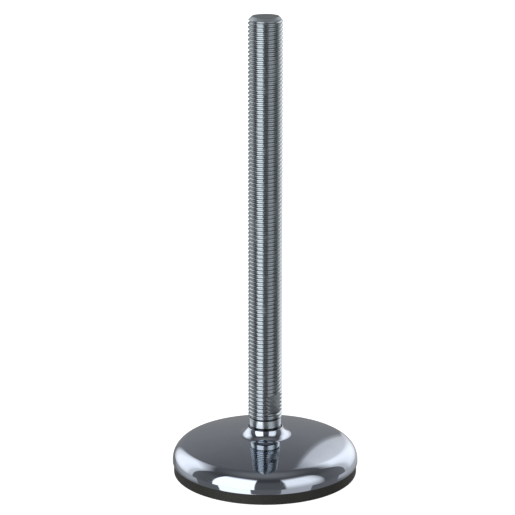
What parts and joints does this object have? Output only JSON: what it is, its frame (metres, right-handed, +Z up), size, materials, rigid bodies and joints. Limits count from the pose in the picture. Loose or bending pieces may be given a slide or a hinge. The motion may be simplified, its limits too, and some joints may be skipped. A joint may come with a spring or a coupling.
{
  "type": "leveling pedestal",
  "caption": "Swivel levelling foot: a long threaded stud with a ball end held in a polished domed round foot on a rubber pad.",
  "frame": {"origin": "middle of the rubber pad's underside, on the surface that the foot stands on", "axes": "+Z up along the stud, towards its free end; the picture's camera looks along +Y with +X to the right"},
  "size_m": [0.0884, 0.0884, 0.2196],
  "materials": {
    "stud_steel": "turned and rolled steel, bright zinc",
    "polished_shell": "polished to a mirror",
    "cup_steel": "turned and hardened",
    "plate_steel": "pressed sheet, satin",
    "pad_rubber": "moulded, matt"
  },
  "bodies": {
    "foot": {"foot_shell": "polished_shell", "base_plate": "plate_steel", "rubber_pad": "pad_rubber"},
    "cup": {"thrust_cup": "cup_steel"},
    "stud": {"threaded_stud": "stud_steel"}
  },
  "joints": [
    {"name": "stud_spin", "type": "hinge", "parent": "foot", "child": "cup", "pos_m": [0, 0, 0.017], "axis": [0, 0, 1], "continuous": true},
    {"name": "stud_tilt", "type": "hinge", "parent": "cup", "child": "stud", "pos_m": [0, 0, 0.017], "axis": [1, 0, 0], "range_deg": [-5, 5]}
  ]
}
